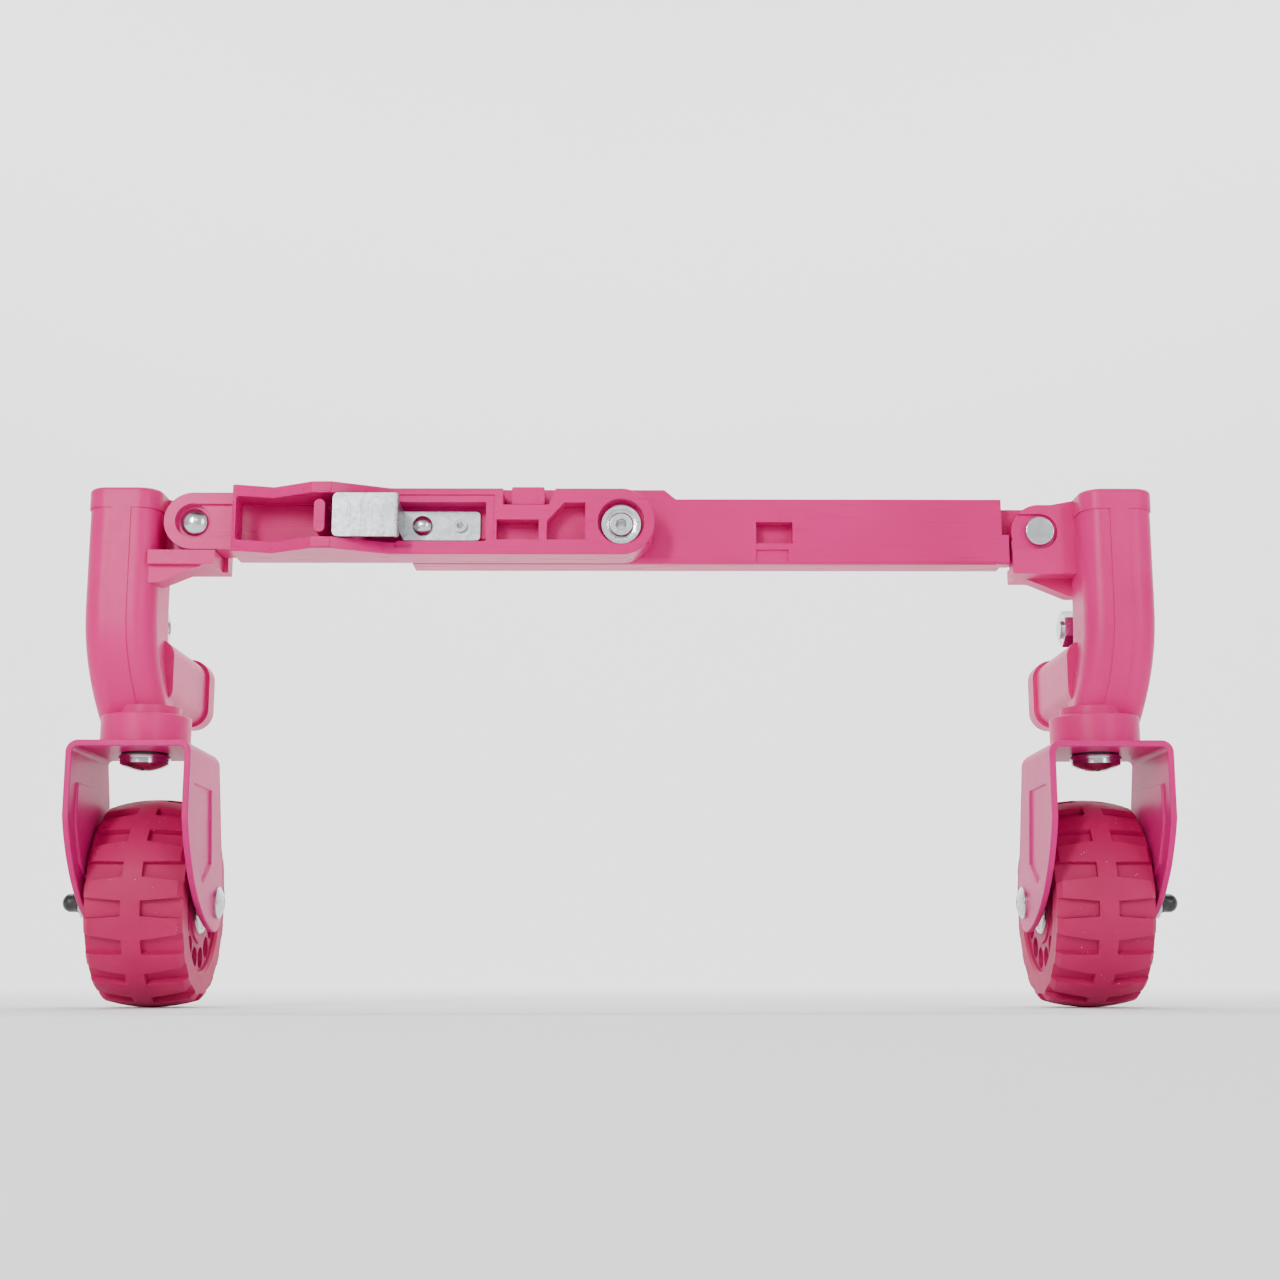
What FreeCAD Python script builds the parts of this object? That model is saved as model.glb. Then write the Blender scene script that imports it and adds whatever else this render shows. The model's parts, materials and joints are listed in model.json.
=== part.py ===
"""Folding front caster frame of a collapsible wagon, drawn at its real size in millimetres.

Two moulded brackets each carry a swivelling caster below and a pair of tube sockets. A crossbar
of two moulded links joins the brackets. It folds upward at its middle, and a pressed-steel latch
in the left link locks it straight.

Directions: X runs to the right along the crossbar, Y runs away from the front, Z is up.
The origin is on the floor, at the middle of the frame's width and depth.
Depths below are given as d, measured back from the front face of the left link.
"""
import math
import os

import FreeCAD
import Part

V = FreeCAD.Vector
ALONG_X = V(1, 0, 0)
ALONG_D = V(0, 1, 0)
ALONG_Z = V(0, 0, 1)

# ---------------------------------------------------------------- clearances
fit_gap = 0.03          # radial gap of a shaft seated in its hole
run_gap = 0.05          # radial gap of a shaft that turns in its hole
face_gap = 0.05         # gap between two flat faces that turn on each other
layer_gap = 0.35        # gap between the crossbar's front and back layers
shelf_gap = 0.4         # gap between a bracket's shelf and the link end above it

# ---------------------------------------------------------------- whole frame
pivot_span = 408.0      # between the two end pivots of the crossbar
swivel_out = 22.0       # each swivel axis is this far outside its end pivot
wheel_r = 50.0
seat_gap = 22.7         # from the top of a wheel to the swivel collar above it
swivel_d = 18.0         # depth of the swivel axes
trail = 36.0            # each axle runs this far behind its swivel axis
depth_middle = 45.55    # depth of the origin, midway between the front crest and the sockets

# ---------------------------------------------------------------- crossbar links
link_depth = 19.3       # thickness of the left link, front to back
link_half = 16.2        # half height of both links
link_end_r = 13.8       # round ends at the bracket pivots
rivet_r = 4.0           # shank of the two end rivets
centre_rivet_r = 5.0    # shank of the centre rivet
rim = 5.5               # width of the left link's top and bottom rims
floor_d = 14.0          # depth of the left link's channel floor
neck = 19.6             # from an end pivot to where the left link widens

lug_t = 9.5             # thickness of a bracket's pivot lug
tongue_t = 9.7          # thickness of the right link's tongue behind its lug

crest_d = -12.5         # the left link's front bulges forward to this depth
crest_x0 = -145.6       # left edge of the flat crest of the bulge
crest_x1 = -136.2       # right edge of the flat crest
bulge_left = -165.7     # where the bulge starts
bulge_right = -110.0    # where the bulge ends

tail_x = -101.5         # free end of the right link's tail behind the left link
hump = 4.4              # the tail's top stands this far above the links
hump_x = 21.0           # right end of that raised top
stop_x0 = -52.3         # stop tab on the tail, which sits in the left link's notch
stop_x1 = -36.7
stop_gap = 0.5          # between the stop tab and the floor of the notch
notch_deep = 8.1        # depth of the notch below the link's top

# ---------------------------------------------------------------- latch
latch_t = 1.8           # sheet thickness of the latch plate
latch_d = 10.0          # front face of the plate's flat part
latch_x1 = -68.0        # free end of the flat part
joggle_x = -104.7       # where the sheet steps forward to the press tab
tab_x0 = -135.7         # free end of the press tab
tab_d = -12.6           # front face of the press tab
tab_h = 21.0            # height of the press tab
plate_h = 14.2          # height of the flat part
latch_rivet_x = -95.7   # the plate rocks on this rivet
lock_x = -77.5          # place of the lock pin
lock_r = 3.25           # radius of the lock pin
rock_gap = 0.55         # room under the rivet head for the plate to rock
spring_r = 4.0          # mean radius of the latch spring
spring_wire = 0.45      # radius of its wire
spring_x = -124.0       # axis of the latch spring

# ---------------------------------------------------------------- brackets
leg_rise = 122.3        # top of the upright socket above the swivel collar's foot
pivot_drop = 16.8       # the crossbar pivots are this far below that top
end_gap = 3.0           # gap between a link's round end and the upright
leg_half = 17.5         # half width of the upright
leg_depth = 40.0        # front to back
leg_corner = 10.0       # radius of its long edges
top_bore_r = 14.15      # takes a 28 mm frame tube
top_bore_deep = 50.0
bend_rise = 59.3        # the front face starts to curve back this far above the collar
bend_r = 95.0           # radius of that curve
lean_rise = 67.3        # the upright starts to lean inward this far above the collar
foot_rise = 11.3        # the bent upright ends this far up inside the swivel collar
collar_band = 10.0      # height of the proud band round the top
band_half = 4.5         # half width of the proud band down the front
panel_sunk = 0.5        # the panels beside the bands are sunk this much

rear_out = 28.0         # the rear socket's axis is this far outside the end pivot
rear_rise = 36.3        # height of that axis above the collar's foot
rear_half_x = 16.2
rear_half_z = 16.0
rear_end = 104.0        # depth of the rear socket's mouth
rear_rim = 12.0         # length of the proud rim at its mouth
rear_proud = 1.8
rear_bore_r = 12.6      # takes a 25 mm frame tube
rear_bore_deep = 38.0

collar_r = 21.0         # swivel collar
collar_h = 13.3

shelf_t = 6.8           # thickness of the shelf under each link end
shelf_reach = 11.0      # the shelf ends this far outside the pivot

ear_gap = 0.3           # between the upright's back and the cross bolt's nut
ear_rise = 62.7         # height of the cross bolt above the collar's foot
ear_r = 11.0
ear_half = 10.5
frame_bolt_r = 5.0
frame_head_r = 8.4
frame_nut_flats = 16.0

# ---------------------------------------------------------------- casters
tyre_gap = 2.75         # between the tyre and each arm
fork_t = 3.0
fork_bend = 5.5         # outer radius of the two bends
collar_gap = 1.0        # the thrust washer fills this gap above the fork
fork_front = -12.0
fork_back = 48.0
fork_end_r = 14.0       # round end of each arm about the axle
panel_in = 1.2          # each arm has a panel pressed in by this much
shoulder_r = 6.0        # king bolt shoulder that the fork turns on
thread_r = 5.0
bush_wall = 2.0
insert_r = 7.0          # threaded insert moulded into the bracket
insert_rise = 3.3       # its foot above the collar's foot
insert_h = 12.0
king_washer_r = 12.0
king_washer_t = 2.0
king_head_r = 11.5
king_head_h = 5.2

tyre_width = 46.0
tyre_in_r = 33.0
crown = 3.6             # the tread falls this much from its middle to its shoulders
tread_pockets = 17      # on each side of the tread
pocket_deep = 2.9
pocket_start = 4.5      # half width of the rib between the two rows of pockets
pocket_h_in = 8.0       # height of a pocket at the rib
pocket_h_out = 11.2     # height of a pocket at the shoulder
hub_inset = 1.5         # the hub is this much narrower than the tyre on each side
cups = 14
cup_r = 5.2
cup_pitch_r = 27.0
cup_deep = 13.0
bearing_r = 15.0
bearing_w = 9.0
bearing_inset = 1.0     # each bearing's outer face lies this far inside the tyre's side
axle_r = 4.0
spacer_r = 6.2
axle_head_r = 7.75
axle_head_h = 4.0
nut_flats = 13.0
nut_h = 6.5
washer_t = 1.6
cap_r = 4.8
cap_h = 9.1

# ---------------------------------------------------------------- sizes that follow
pivot_x = pivot_span / 2
swivel_x = pivot_x + swivel_out
leg_x = pivot_x + link_end_r + end_gap + leg_half
rear_x = pivot_x + rear_out
collar_z0 = 2 * wheel_r + seat_gap      # foot of the swivel collar
collar_z1 = collar_z0 + collar_h
foot_z = collar_z0 + foot_rise
rear_z = collar_z0 + rear_rise
ear_z = collar_z0 + ear_rise
ear_d = leg_depth + frame_nut_flats / math.sqrt(3) + ear_gap
bend_z = collar_z0 + bend_rise
lean_z = collar_z0 + lean_rise
leg_top = collar_z0 + leg_rise
pivot_z = leg_top - pivot_drop
insert_z0 = collar_z0 + insert_rise
insert_z1 = insert_z0 + insert_h
fork_top = collar_z0 - collar_gap
fork_width = tyre_width + 2 * (tyre_gap + fork_t)
hub_half = tyre_width / 2 - hub_inset
bearing_out = tyre_width / 2 - bearing_inset
axle_d = swivel_d + trail
axle_z = wheel_r
link_z0 = pivot_z - link_half
link_z1 = pivot_z + link_half
back_d = link_depth + layer_gap         # front of the back layer: lugs, tail and right link
lug_back = back_d + lug_t
tongue_d = lug_back + layer_gap
link_back = tongue_d + tongue_t         # back of the right link
notch_z = link_z1 - notch_deep
shelf_top = pivot_z - link_end_r - shelf_gap


# ---------------------------------------------------------------- building blocks
def at(x, d, z):
    """A point from its place along the crossbar, its depth and its height."""
    return V(x, d - depth_middle, z)


def block(x0, x1, d0, d1, z0, z1):
    return Part.makeBox(x1 - x0, d1 - d0, z1 - z0, at(x0, d0, z0))


def x_rod(x0, x1, d, z, r):
    return Part.makeCylinder(r, x1 - x0, at(x0, d, z), ALONG_X)


def d_rod(d0, d1, x, z, r):
    return Part.makeCylinder(r, d1 - d0, at(x, d0, z), ALONG_D)


def z_rod(z0, z1, x, d, r):
    return Part.makeCylinder(r, z1 - z0, at(x, d, z0), ALONG_Z)


def prism(axis, points, low, high):
    """Push a flat outline along x, d or z. Its points are in the other two, in that order."""
    if axis == "x":
        corners = [at(low, a, b) for a, b in points]
        push = ALONG_X
    elif axis == "d":
        corners = [at(a, low, b) for a, b in points]
        push = ALONG_D
    else:
        corners = [at(a, b, low) for a, b in points]
        push = ALONG_Z
    face = Part.Face(Part.makePolygon(corners + corners[:1]))
    return face.extrude(push * (high - low))


def rounded(shape, direction, radius):
    """Round every straight edge that runs in one direction."""
    picked = []
    for edge in shape.Edges:
        if isinstance(edge.Curve, Part.Line) and edge.Curve.Direction.cross(direction).Length < 1e-6:
            picked.append(edge)
    return shape.makeFillet(radius, picked)


def dome(base, direction, radius, rim_h, height):
    """A round head: a short cylinder with a crown on it, spun about its own line."""
    across = ALONG_Z if direction.z == 0 else ALONG_X
    rise = height - rim_h
    ball = (radius * radius + rise * rise) / (2 * rise)
    half_way = radius / 2
    sag = ball - math.sqrt(ball * ball - half_way * half_way)
    edge = base + across * radius
    shoulder = edge + direction * rim_h
    top = base + direction * height
    crown_mid = base + across * half_way + direction * (height - sag)
    lines = [Part.makeLine(base, edge), Part.makeLine(edge, shoulder),
             Part.Arc(shoulder, crown_mid, top).toShape(), Part.makeLine(top, base)]
    return Part.Face(Part.Wire(lines)).revolve(base, direction, 360)


def hexagon(base, direction, flats, height):
    """A hexagonal bar on its base point."""
    corner = flats / math.sqrt(3)
    across = ALONG_Z if direction.z == 0 else ALONG_X
    other = direction.cross(across)
    corners = []
    for step in range(7):
        turn = math.radians(60 * step)
        corners.append(base + across * (corner * math.cos(turn)) + other * (corner * math.sin(turn)))
    return Part.Face(Part.makePolygon(corners)).extrude(direction * height)


def turned(points, base, direction):
    """Spin an outline of (radius, distance) points about a line through the base point."""
    across = ALONG_Z if direction.z == 0 else ALONG_X
    corners = [base + across * r + direction * t for r, t in points]
    face = Part.Face(Part.makePolygon(corners + corners[:1]))
    return face.revolve(base, direction, 360)


def merged(first, *others):
    return first.fuse(list(others)).removeSplitter()


def save(node, shape):
    if shape.ShapeType == "Compound" and len(shape.Solids) == 1:
        shape = shape.Solids[0]
    shape.exportStep("parts/" + node + ".step")
    print(node, len(shape.Solids), round(shape.Volume))


# ---------------------------------------------------------------- brackets
def upright_x(z):
    """Axis of the upright at a height: straight above, leaning in to the rear socket below."""
    lean = max(0.0, (lean_z - z) / (lean_z - foot_z))
    return leg_x - (leg_x - rear_x) * lean * lean


def upright_front(z):
    """Depth of the upright's front face at a height."""
    drop = max(0.0, bend_z - z)
    return bend_r - math.sqrt(bend_r * bend_r - drop * drop)


def ring(x0, x1, d0, d1, z, radius):
    """A rectangle with round corners at one height."""
    corners = ((x1 - radius, d1 - radius, 0), (x0 + radius, d1 - radius, 90),
               (x0 + radius, d0 + radius, 180), (x1 - radius, d0 + radius, 270))
    arcs = []
    for x, d, start in corners:
        turns = [math.radians(start + step) for step in (0, 45, 90)]
        arcs.append([at(x + radius * math.cos(t), d + radius * math.sin(t), z) for t in turns])
    edges = []
    for index, arc in enumerate(arcs):
        edges.append(Part.Arc(*arc).toShape())
        edges.append(Part.makeLine(arc[2], arcs[(index + 1) % 4][0]))
    return Part.Wire(edges)


def upright(side, inset):
    """The upright, straight above and lofted through its bend below."""
    def section(z):
        middle = side * upright_x(z)
        half = leg_half - inset
        front = upright_front(z) + inset
        return ring(middle - half, middle + half, front, leg_depth - inset, z, leg_corner)
    top = leg_top - (0.2 if inset else 0)
    straight = Part.Face(section(lean_z)).extrude(ALONG_Z * (top - lean_z))
    levels = 8
    heights = [lean_z + (foot_z - lean_z) * step / (levels - 1) for step in range(levels)]
    bend = Part.makeLoft([section(z) for z in heights], True, False)
    return merged(straight, bend)


def front_band(side):
    """Region of the proud band down the front of the upright."""
    levels = 8
    heights = [leg_top] + [lean_z + (foot_z - lean_z) * step / (levels - 1) for step in range(levels)]
    region = None
    for high, low in zip(heights, heights[1:]):
        walls = []
        for z in (high, low):
            middle = side * upright_x(z)
            corners = [at(middle - band_half, -5, z), at(middle + band_half, -5, z),
                       at(middle + band_half, leg_depth / 2, z), at(middle - band_half, leg_depth / 2, z)]
            walls.append(Part.makePolygon(corners + corners[:1]))
        piece = Part.makeLoft(walls, True, True)
        region = piece if region is None else region.fuse(piece)
    return region


def socket_block(side, d0, d1, proud):
    half_x = rear_half_x + proud
    half_z = rear_half_z + proud
    middle = side * rear_x
    body = block(middle - half_x, middle + half_x, d0, d1, rear_z - half_z, rear_z + half_z)
    return rounded(body, ALONG_D, 8.0 + proud)


def bracket(side):
    """One bracket: -1 is the left one and 1 the right one."""
    full = upright(side, 0.0)
    top_edges = [e for e in full.Edges if e.BoundBox.ZMin > leg_top - 0.01]
    full = full.makeFillet(1.8, top_edges)
    middle = side * leg_x
    collar = block(middle - 30, middle + 30, -5, leg_depth + 5, leg_top - collar_band, leg_top + 1)
    proud = full.common(collar.fuse(front_band(side)))
    body = upright(side, panel_sunk).cut(collar).fuse(proud)

    rear = socket_block(side, leg_depth - 16, rear_end, 0.0)
    rear_lip = socket_block(side, rear_end - rear_rim, rear_end, rear_proud)
    swivel = z_rod(collar_z0, collar_z1, side * swivel_x, swivel_d, collar_r)
    swivel = swivel.makeFillet(1.0, [e for e in swivel.Edges if e.BoundBox.ZMin > collar_z1 - 0.01])
    seat = z_rod(collar_z1 - 2, insert_z1 + 3, side * swivel_x, swivel_d + 4, collar_r - 6)
    keel = block(side * rear_x - 13, side * rear_x + 13, swivel_d, leg_depth + 8, foot_z, rear_z)

    # The ear behind the upright carries a cross bolt.
    x0 = middle - ear_half
    x1 = middle + ear_half
    ear = merged(x_rod(x0, x1, ear_d, ear_z, ear_r),
                 block(x0, x1, leg_depth - 4, ear_d, rear_z, ear_z + ear_r),
                 block(x0, x1, leg_depth - 4, ear_d + ear_r, rear_z, ear_z))

    # The lug holds the end pivot, and the shelf stops the link from sagging.
    pivot = side * pivot_x
    wall = side * (leg_x - leg_half + 4)
    low, high = sorted((pivot, wall))
    lug = merged(d_rod(back_d, lug_back, pivot, pivot_z, link_end_r - 0.4),
                 block(low, high, back_d, lug_back, shelf_top - shelf_t, pivot_z + link_end_r - 0.4))
    low, high = sorted((pivot - side * (link_end_r - 0.4), wall))
    lug = lug.fuse(block(low, high, back_d, lug_back, shelf_top - shelf_t, pivot_z - 4))
    slope = [(side * (pivot_x + 6), pivot_z + link_end_r - 0.4), (wall, leg_top - 0.6),
             (wall, pivot_z)]
    lug = lug.fuse(prism("d", slope, back_d, lug_back))
    if side < 0:
        shelf_d0 = 0.0
        shelf_d1 = back_d
    else:
        shelf_d0 = lug_back
        shelf_d1 = leg_depth + 6
        recess = merged(d_rod(back_d - 1, back_d + 1.7, pivot, pivot_z, 8.8),
                        block(pivot - 20, pivot, back_d - 1, back_d + 1.7, pivot_z - 8.8, pivot_z + 8.8))
        lug = lug.cut(recess)
    low, high = sorted((side * (pivot_x - shelf_reach), wall))
    shelf = block(low, high, shelf_d0, shelf_d1, shelf_top - shelf_t, shelf_top)
    gusset_points = [(side * (pivot_x - shelf_reach + 4), shelf_top - shelf_t + 1),
                     (wall, shelf_top - shelf_t + 1), (wall, shelf_top - shelf_t - 8.5),
                     (side * (leg_x - leg_half - 1), shelf_top - shelf_t - 8.5)]
    gusset = prism("d", gusset_points, shelf_d0 + 3, shelf_d1 - 4)

    body = merged(body, rear, rear_lip, swivel, seat, keel, ear, lug, shelf, gusset)

    holes = [z_rod(leg_top - top_bore_deep, leg_top + 1, middle, leg_depth / 2, top_bore_r),
             d_rod(rear_end - rear_bore_deep, rear_end + 1, side * rear_x, rear_z, rear_bore_r),
             x_rod(x0 - 1, x1 + 1, ear_d, ear_z, frame_bolt_r + fit_gap),
             d_rod(back_d - 1, lug_back + 1, pivot, pivot_z, rivet_r + fit_gap),
             z_rod(collar_z0 - 1, insert_z0, side * swivel_x, swivel_d, shoulder_r + fit_gap),
             z_rod(insert_z0, insert_z1, side * swivel_x, swivel_d, insert_r + fit_gap)]
    return body.cut(holes[0].fuse(holes[1:]))


def frame_bolt():
    """Cross bolt through an ear, its head to the right, as it lies on the ear's left face."""
    head = dome(V(2 * ear_half, 0, 0), ALONG_X, frame_head_r, 1.2, 2.8)
    shank = Part.makeCylinder(frame_bolt_r, 2 * ear_half + 9.5, V(-9.5, 0, 0), ALONG_X)
    socket = hexagon(V(2 * ear_half + 1.2, 0, 0), ALONG_X, 6.0, 3.0)
    return head.fuse(shank).cut(socket)


def frame_nut():
    body = hexagon(V(-8, 0, 0), ALONG_X, frame_nut_flats, 8.0)
    body = body.common(Part.makeSphere(10.6, V(-2.5, 0, 0)))
    return body.cut(Part.makeCylinder(frame_bolt_r + fit_gap, 12, V(-10, 0, 0), ALONG_X))


# ---------------------------------------------------------------- crossbar
def left_link():
    """Front layer of the crossbar, with the channel and recesses that hold the latch."""
    neck_x = -pivot_x + neck
    plan = [(neck_x, link_depth), (neck_x, -5.0), (neck_x + 1.6, -6.5), (bulge_left, -1.5),
            (crest_x0, crest_d), (crest_x1, crest_d), (bulge_right, 0.0), (0.0, 0.0),
            (0.0, link_depth)]
    bar = prism("z", plan, link_z0, link_z1)
    front_edges = []
    for edge in bar.Edges:
        box = edge.BoundBox
        level = box.ZLength < 0.01
        if level and box.YMax < -depth_middle + 0.01 and box.XLength > 3:
            front_edges.append(edge)
    bar = bar.makeChamfer(0.5, front_edges)
    left_end = merged(d_rod(0, link_depth, -pivot_x, pivot_z, link_end_r),
                      block(-pivot_x, neck_x + 2, 0, link_depth,
                            pivot_z - link_end_r, pivot_z + link_end_r))
    right_end = d_rod(0, link_depth, 0, pivot_z, link_half)
    right_end = right_end.makeChamfer(0.5, [e for e in right_end.Edges
                                            if e.BoundBox.YMax < -depth_middle + 0.01])
    body = merged(bar, left_end, right_end)

    # Channel behind the press tab, with a sloping left end.
    low = link_z0 + rim
    high = link_z1 - rim
    channel = prism("z", [(neck_x + 2, -20), (joggle_x - 2.5, -20), (joggle_x - 2.5, floor_d),
                          (neck_x + 12, floor_d), (neck_x + 2, floor_d - 5)], low, high)
    channel = rounded(channel, ALONG_D, 1.5)
    recess = block(joggle_x - 3, -64.6, -1, latch_d + latch_t + 1.6, pivot_z - 9.6, pivot_z + 9.6)
    step = block(bulge_right + 2, -60.4, -1, 1.0, pivot_z - 12.8, pivot_z + 13.0)
    rivet_slot = merged(d_rod(-1, 2.0, -pivot_x, pivot_z, 8.5),
                        block(-pivot_x, neck_x, -1, 2.0, pivot_z - 8.3, pivot_z + 8.3),
                        d_rod(-1, 4.0, -pivot_x, pivot_z, 8.3))
    pocket_a = block(-59.4, -39.3, -1, 10, pivot_z - 9.0, pivot_z + 0.8)
    pocket_b = prism("d", [(-35.5, pivot_z - 9.0), (-17.1, pivot_z - 9.0), (-17.1, pivot_z + 9.2),
                           (-27.1, pivot_z + 9.2), (-35.5, pivot_z)], -1, 10)
    notch = prism("d", [(-56.5, notch_z), (-34.6, notch_z), (-30.8, link_z1 + 1),
                        (-56.5, link_z1 + 1)], -1, link_depth + 1)
    centre = d_rod(-1, 8.0, 0, pivot_z, 11.2).fuse(d_rod(0, link_depth + 1, 0, pivot_z,
                                                        centre_rivet_r + fit_gap))
    body = body.cut([channel, recess, step, rivet_slot, pocket_a, pocket_b, notch, centre])

    # Rib across the channel, the pads on the crest, and the pad under the latch's free end.
    rib = block(crest_x0 + 0.9, crest_x0 + 6.0, crest_d + 2, floor_d + 1,
                pivot_z - 7.9, pivot_z + 7.9)
    rib = rounded(rib, ALONG_D, 2.4)
    pads = []
    for z in (link_z0 + rim / 2, link_z1 - rim / 2):
        pad = block(crest_x0 + 0.3, crest_x1 - 0.3, crest_d - 0.4, crest_d + 1,
                    z - rim / 2 + 0.7, z + rim / 2 - 0.7)
        pads.append(rounded(pad, ALONG_D, 1.2))
    latch_rest = block(latch_x1 - 3, -64, latch_d + latch_t + 0.1, floor_d,
                       pivot_z - 6, pivot_z + 6)
    body = merged(body, rib, latch_rest, *pads)

    holes = [d_rod(0, link_depth + 1, -pivot_x, pivot_z, rivet_r + run_gap),
             d_rod(0, link_depth - 1, latch_rivet_x, pivot_z, 2.4 + fit_gap),
             d_rod(0, link_depth + 1, lock_x, pivot_z, lock_r + 1.5)]
    return body.cut(holes)


def right_link():
    """Back layer of the crossbar: tail behind the left link, bar, and tongue behind the lug."""
    end_hi = pivot_x - 18.4
    end_lo = pivot_x - 15.0
    bar = block(tail_x, end_hi, back_d, link_back, link_z0, link_z1)
    bar = bar.makeFillet(3.0, [e for e in bar.Edges
                               if e.BoundBox.ZMax < link_z0 + 0.01 and e.BoundBox.XLength > 50])
    upper = [e for e in bar.Edges if e.BoundBox.ZMin > link_z1 - 0.01 and e.BoundBox.XLength > 50]
    bar = bar.makeFillet(0.8, upper)
    toe = block(end_hi - 3, end_lo, back_d, tongue_d, link_z0, pivot_z - 1.7)
    toe = toe.makeFillet(1.5, [e for e in toe.Edges
                               if e.BoundBox.ZMax < link_z0 + 0.01 and e.BoundBox.XLength > 5])
    tongue = merged(d_rod(tongue_d, link_back, pivot_x, pivot_z, link_end_r - 0.4),
                    block(end_hi - 3, pivot_x, tongue_d, link_back,
                          pivot_z - link_end_r + 0.4, pivot_z + link_end_r - 0.4))
    top = prism("d", [(tail_x, link_z1 - 3), (hump_x + 9, link_z1 - 3), (hump_x, link_z1 + hump),
                      (tail_x + 2, link_z1 + hump), (tail_x, link_z1 + hump - 2)],
                back_d, link_back)
    stop = block(stop_x0, stop_x1, 1.5, back_d + 2, notch_z + stop_gap, link_z1 + 0.9)
    stop = rounded(stop, ALONG_D, 0.8)
    body = merged(bar, toe, tongue, top, stop)

    slot = block(65.7, 83.5, back_d - 1, back_d + 8, pivot_z - 6.1, pivot_z + 4.6)
    patch = block(65.7, 81.4, back_d - 1, back_d + 1.2, link_z0 - 1, pivot_z - 9.2)
    cuts = [slot, patch,
            d_rod(back_d - 1, link_back + 1, 0, pivot_z, centre_rivet_r + run_gap),
            d_rod(tongue_d - 1, link_back + 1, pivot_x, pivot_z, rivet_r + run_gap),
            d_rod(back_d - 1, back_d + 9, lock_x, pivot_z, lock_r + 0.35)]
    # The back is cored out between cross ribs.
    wall = 3.2
    cells = ((-66.0, -44.0), (-41.0, -19.0), (19.0, 39.0), (42.0, 62.0), (90.0, 112.0),
             (115.0, 137.0), (140.0, 162.0))
    for x0, x1 in cells:
        cell = block(x0, x1, back_d + 4.5, link_back + 1, link_z0 + wall + 1, link_z1 - wall)
        cuts.append(rounded(cell, ALONG_D, 2.0))
    return body.cut(cuts)


def left_end_rivet():
    head = dome(at(-pivot_x, 4.0, pivot_z), ALONG_D * -1, 6.6, 0.9, 3.4)
    shank = d_rod(3.5, lug_back, -pivot_x, pivot_z, rivet_r)
    tail = dome(at(-pivot_x, lug_back, pivot_z), ALONG_D, 6.5, 0.6, 2.6)
    return merged(head, shank, tail)


def right_end_rivet():
    head = d_rod(back_d - 2.0, back_d + 1.7, pivot_x, pivot_z, 7.0)
    head = head.makeFillet(0.6, [e for e in head.Edges
                                 if e.BoundBox.YMax < back_d - 1.9 - depth_middle])
    shank = d_rod(back_d, link_back + face_gap, pivot_x, pivot_z, rivet_r)
    tail = dome(at(pivot_x, link_back + face_gap, pivot_z), ALONG_D, 6.5, 0.6, 2.6)
    return merged(head, shank, tail)


def centre_rivet():
    """Tubular rivet, flared over its washer at the front and domed at the back."""
    front = 5.9
    flare = turned([(0, 0), (5.3, 0), (5.9, 0.5), (5.9, 0.9), (centre_rivet_r, 1.3),
                    (centre_rivet_r, 3.0), (0, 3.0)], at(0, front, pivot_z), ALONG_D)
    shank = d_rod(front + 2, link_back + face_gap, 0, pivot_z, centre_rivet_r)
    tail = dome(at(0, link_back + face_gap, pivot_z), ALONG_D, 8.0, 0.8, 3.0)
    bore = turned([(0, -1), (3.0, -1), (2.4, 0.7), (2.4, 6.0), (0, 6.0)],
                  at(0, front, pivot_z), ALONG_D)
    return merged(flare, shank, tail).cut(bore)


def centre_washer():
    """Dished washer at the bottom of the left link's centre recess."""
    inner = centre_rivet_r + 0.15
    return turned([(inner, 0), (9.8, 0), (9.8, -1.7), (9.5, -1.9), (7.7, -1.9), (inner, -0.7)],
                  at(0, 8.0, pivot_z), ALONG_D)


# ---------------------------------------------------------------- latch
def latch_plate():
    """Pressed sheet: a flat part on the rivet, a step forward, and the press tab."""
    half = plate_h / 2
    profile = [(latch_x1, latch_d), (latch_x1, latch_d + latch_t),
               (joggle_x - latch_t, latch_d + latch_t), (joggle_x - latch_t, tab_d + latch_t),
               (tab_x0, tab_d + latch_t), (tab_x0, tab_d), (joggle_x, tab_d), (joggle_x, latch_d)]
    strip = prism("z", profile, pivot_z - tab_h / 2, pivot_z + tab_h / 2)
    bends = []
    for edge in strip.Edges:
        box = edge.BoundBox
        upright_edge = box.ZLength > tab_h - 0.1
        corner = abs(box.XMin - joggle_x) < 0.01 and abs(box.YMin + depth_middle - tab_d) < 0.01
        if upright_edge and corner:
            bends.append(edge)
    strip = strip.makeFillet(1.6, bends)
    tab = block(tab_x0, joggle_x + 1, tab_d - 1, tab_d + latch_t + 1.5,
                pivot_z - tab_h / 2, pivot_z + tab_h / 2)
    tab = rounded(tab, ALONG_D, 2.6)
    stem = block(joggle_x - latch_t - 1, latch_x1, tab_d + latch_t + 1, latch_d + latch_t + 1,
                 pivot_z - half, pivot_z + half)
    stem = rounded(stem, ALONG_D, 2.0)
    plate = strip.common(tab.fuse(stem))
    grips = []
    for step in range(4):
        x = tab_x0 + 7.0 + 5.2 * step
        grip = block(x, x + 1.4, tab_d - 0.3, tab_d + 0.5, pivot_z - 5.5, pivot_z + 5.5)
        grips.append(rounded(grip, ALONG_D, 0.6))
    plate = merged(plate, *grips)
    return plate.cut([d_rod(latch_d - 1, latch_d + 4, latch_rivet_x, pivot_z, 3.0),
                      d_rod(latch_d - 1, latch_d + 4, lock_x, pivot_z, lock_r + fit_gap)])


def latch_rivet():
    head = dome(at(latch_rivet_x, latch_d - rock_gap, pivot_z), ALONG_D * -1, 4.85, 0.4, 2.6)
    shank = d_rod(latch_d - rock_gap - 0.5, link_depth - 1, latch_rivet_x, pivot_z, 2.4)
    return merged(head, shank)


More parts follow.
